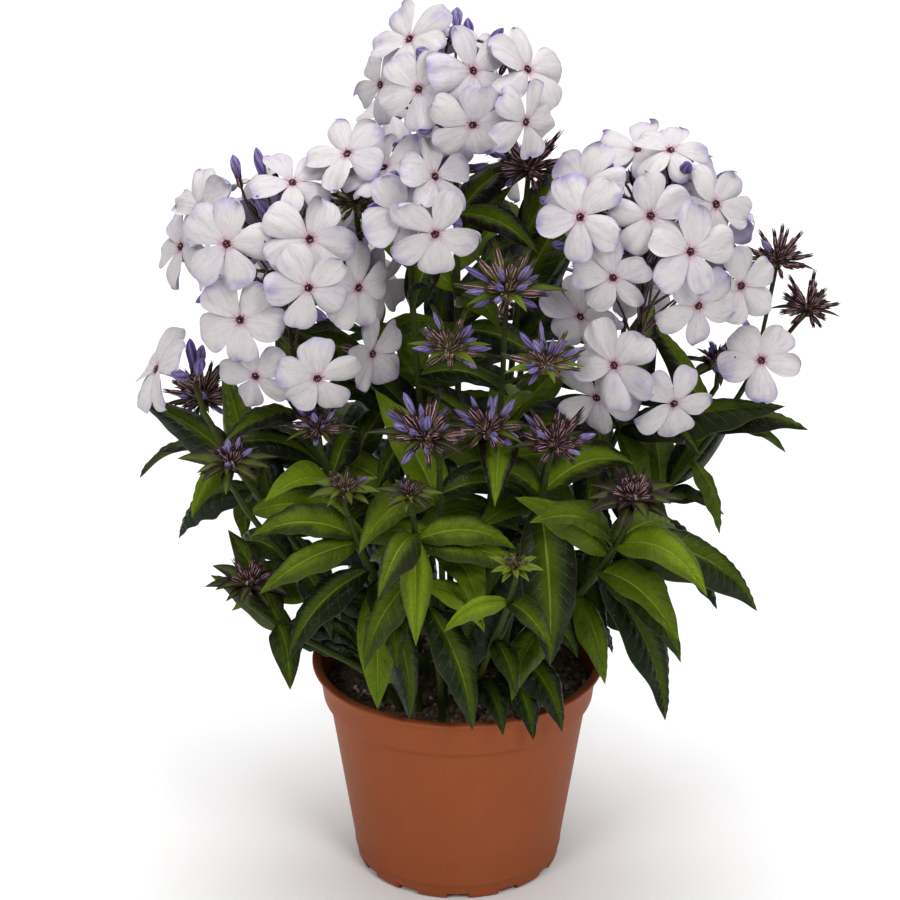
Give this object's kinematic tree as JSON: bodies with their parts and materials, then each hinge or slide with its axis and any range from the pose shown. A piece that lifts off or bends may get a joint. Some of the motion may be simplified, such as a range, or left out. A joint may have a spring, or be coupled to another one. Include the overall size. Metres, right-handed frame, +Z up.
{
  "type": "potted garden phlox plant",
  "caption": "Upright flowering garden phlox in a round tapered nursery pot: leafy stems rising from soil to domed heads of five-lobed florets and dark bud tips.",
  "frame": {"origin": "on the pot's axis, at the surface that the pot's foot ring stands on", "axes": "+Z up along the pot's axis, +X to the plant's right seen from its front, and the front of the plant faces -Y"},
  "size_m": [0.3058, 0.2494, 0.4025],
  "materials": {
    "pot_plastic": "satin moulded terracotta colour",
    "soil": "dark moist peat with fibres and white perlite grains",
    "leaf": "glossy mid to dark green with a lighter midrib, paler underneath",
    "floret": "soft near-white with lavender edges and a small dark magenta eye",
    "bud": "dark purple-brown calyces and bracts with furled violet buds"
  },
  "bodies": {
    "root": {"pot": "pot_plastic", "soil": "soil", "shoot_a": "leaf", "shoot_b": "leaf", "shoot_c": "leaf", "shoot_d": "leaf", "shoot_e": "leaf", "shoot_f": "leaf", "shoot_g": "leaf", "shoot_h": "leaf", "shoot_i": "leaf", "shoot_j": "leaf", "shoot_k": "leaf", "shoot_l": "leaf", "shoot_m": "leaf", "shoot_n": "leaf", "shoot_o": "leaf", "shoot_p": "leaf", "shoot_r": "leaf", "shoot_s": "leaf", "shoot_t": "leaf", "shoot_u": "leaf", "shoot_v": "leaf", "shoot_w": "leaf", "shoot_x": "leaf", "shoot_y": "leaf", "bloom_a": "floret", "bloom_b": "floret", "bloom_c": "floret", "bloom_d": "floret", "bloom_l": "floret", "bloom_m": "floret", "bloom_t": "floret", "bloom_u": "floret", "bloom_v": "floret", "bud_e": "bud", "bud_f": "bud", "bud_g": "bud", "bud_h": "bud", "bud_i": "bud", "bud_j": "bud", "bud_k": "bud", "bud_n": "bud", "bud_o": "bud", "bud_p": "bud", "bud_r": "bud", "bud_s": "bud", "bud_w": "bud", "bud_x": "bud", "bud_y": "bud"}
  },
  "joints": []
}
